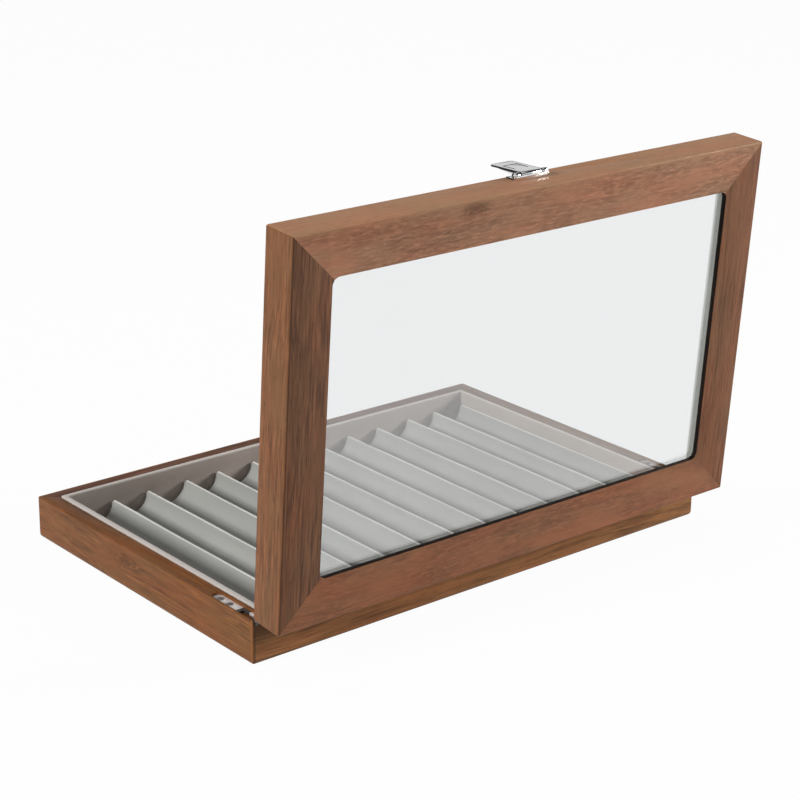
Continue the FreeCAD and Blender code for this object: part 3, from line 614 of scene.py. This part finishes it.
frame["nodes"]["glass_pane"].data.materials.clear()
frame["nodes"]["glass_pane"].data.materials.append(clear_glass())
for card_node, card_finish in (
        ("bottom_panel", plain_card("bottom_board", srgb(150, 118, 88), srgb(132, 100, 74))),
        ("insert_board", plain_card("insert_card", srgb(150, 146, 140), srgb(136, 132, 126)))):
    frame["nodes"][card_node].data.materials.clear()
    frame["nodes"][card_node].data.materials.append(card_finish)

# The cloth

for lid in (False, True):
    body = "lid" if lid else "base"
    ring_low, ring_high = extent(body + "_front_lining", shut=lid)
    ring_width, ring_depth = ring_high[0] * 2, extent(body + "_back_lining", shut=lid)[1][1] * 2
    wide = ring_high[1] - ring_low[1]
    if lid:
        board = board_section(wide, -ring_high[2], -ring_low[2], 0.0, 0.0, 0.9 * MM) * (1.0, -1.0)
    else:
        board = board_section(wide, ring_low[2], 27.25 * MM, 0.35 * MM, 0.8 * MM, 0.6 * MM)
    for side in SIDES:
        lining_board("%s_%s_cloth" % (body, side), "%s_%s_lining" % (body, side), side, board,
                     ring_width, ring_depth, lid, lid_cloth_lightened if lid else lining_cloth, 0.0 if lid else 0.95 * MM)
velvet_insert(insert_velvet)

# The metal

for hinge_side in ("left", "right"):
    softened("%s_hinge_base_leaf" % hinge_side, "base", nickel, 0.12 * MM)
    # The lid's leaves take the dark steel as painted shade.
    softened("%s_hinge_lid_leaf" % hinge_side, "lid", steel_and_shade, 0.12 * MM)
    softened("%s_hinge_pin" % hinge_side, "base", steel_and_shade, 0.1 * MM)
softened("base_hinge_screws", "base", steel_and_shade, 0.06 * MM)
softened("lid_hinge_screws", "lid", steel_and_shade, 0.06 * MM)
softened("clasp_plate", "lid", plate_chrome, 0.12 * MM)
softened("clasp_nails", "lid", chrome, 0.08 * MM)
softened("clasp_pin", "lid", chrome, 0.1 * MM)
softened("hasp", "hasp", hasp_chrome, 0.4 * MM)
softened("catch_plate", "base", chrome, 0.1 * MM)
softened("catch_nails", "base", chrome, 0.08 * MM)

# The studio

floor_mesh = bpy.data.meshes.new("studio_floor")
floor_mesh.from_pydata([(-6, -6, -0.0003), (6, -6, -0.0003), (6, 6, -0.0003), (-6, 6, -0.0003)], [], [(0, 1, 2, 3)])
floor = bpy.data.objects.new("studio_floor", floor_mesh)
bpy.context.scene.collection.objects.link(floor)
floor_finish, floor_start = new_material("pale_floor")
floor_paint = floor_start.node("BsdfDiffuse", {}, {"Color": (0.76, 0.76, 0.76, 1.0)})
floor_glow = floor_start.node("Emission", {}, {"Color": (1.0, 1.0, 1.0, 1.0), "Strength": 1.0})
seen = floor_start.node("LightPath", {}, {}, "Is Camera Ray")
for ray in ("Is Glossy Ray", "Is Transmission Ray"):
    seen = floor_start.math("MAXIMUM", seen, floor_start.node("LightPath", {}, {}, ray))
close_material(floor_start, floor_start.node("MixShader", {}, {0: seen * 0.965, 1: floor_paint, 2: floor_glow}))
floor_mesh.materials.append(floor_finish)

world = bpy.data.worlds.new("studio")
bpy.context.scene.world = world
world.use_nodes = True
world.node_tree.nodes.clear()
sky = Value(world.node_tree)
seen = sky.node("LightPath", {}, {}, "Is Camera Ray")
for ray in ("Is Glossy Ray", "Is Transmission Ray"):
    seen = sky.math("MAXIMUM", seen, sky.node("LightPath", {}, {}, ray))
height = sky.node("SeparateXYZ", {}, {0: sky.node("TexCoord", {}, {}, "Generated")}, "Z")
curtain = height.between(0.42, 0.5) * (1.0 - height.between(0.78, 0.88))
mirrored = sky.node("LightPath", {}, {}, "Is Glossy Ray")
air = sky.node("Background", {}, {"Color": (1.0, 1.0, 1.0, 1.0),
                                  "Strength": (0.18 + seen * 0.82) * (1.0 - mirrored * (0.3 + curtain * 0.65))})
world_out = world.node_tree.nodes.new("ShaderNodeOutputWorld")
world.node_tree.links.new(air.socket, world_out.inputs["Surface"])


def softbox(name, place, aim, size, power):
    """A square soft light at a place, facing a point."""
    lamp = bpy.data.lights.new(name, "AREA")
    lamp.size = size
    lamp.energy = power
    box = bpy.data.objects.new(name, lamp)
    box.location = place
    box.rotation_euler = (Vector(aim) - Vector(place)).to_track_quat("-Z", "Y").to_euler()
    bpy.context.scene.collection.objects.link(box)


softbox("key_light", (3.0, -0.1, 1.5), (0.0, 0.0, 0.05), 0.7, 92.0)
softbox("right_light", (-1.3, 1.0, 0.6), (0.0, 0.0, 0.05), 0.4, 19.0)
softbox("top_light", (0.0, 0.0, 3.5), (0.0, 0.0, 0.0), 1.6, 20.0)

# The camera, at the photograph's angle: azimuth and elevation of its place, and a slight roll

AZIMUTH, ELEVATION, ROLL = math.radians(140.28), math.radians(19.83), math.radians(0.697)
AIM, DISTANCE = Vector((-0.0216, 0.0, 0.0757)), 1.2958
back = Vector((math.sin(AZIMUTH) * math.cos(ELEVATION), -math.cos(AZIMUTH) * math.cos(ELEVATION), math.sin(ELEVATION)))
level = Vector((0, 0, 1)).cross(back).normalized()
upright = back.cross(level)
right = level * math.cos(ROLL) + upright * math.sin(ROLL)
up = upright * math.cos(ROLL) - level * math.sin(ROLL)
camera = bpy.data.objects.new("camera", bpy.data.cameras.new("camera"))
camera.data.lens = 97.877
camera.data.sensor_width = 36.0
camera.data.clip_start = 0.05
camera.matrix_world = Matrix((
    (right.x, up.x, back.x, AIM.x + back.x * DISTANCE),
    (right.y, up.y, back.y, AIM.y + back.y * DISTANCE),
    (right.z, up.z, back.z, AIM.z + back.z * DISTANCE),
    (0.0, 0.0, 0.0, 1.0)))
bpy.context.scene.collection.objects.link(camera)
bpy.context.scene.camera = camera
bpy.context.scene.view_settings.view_transform = "Standard"
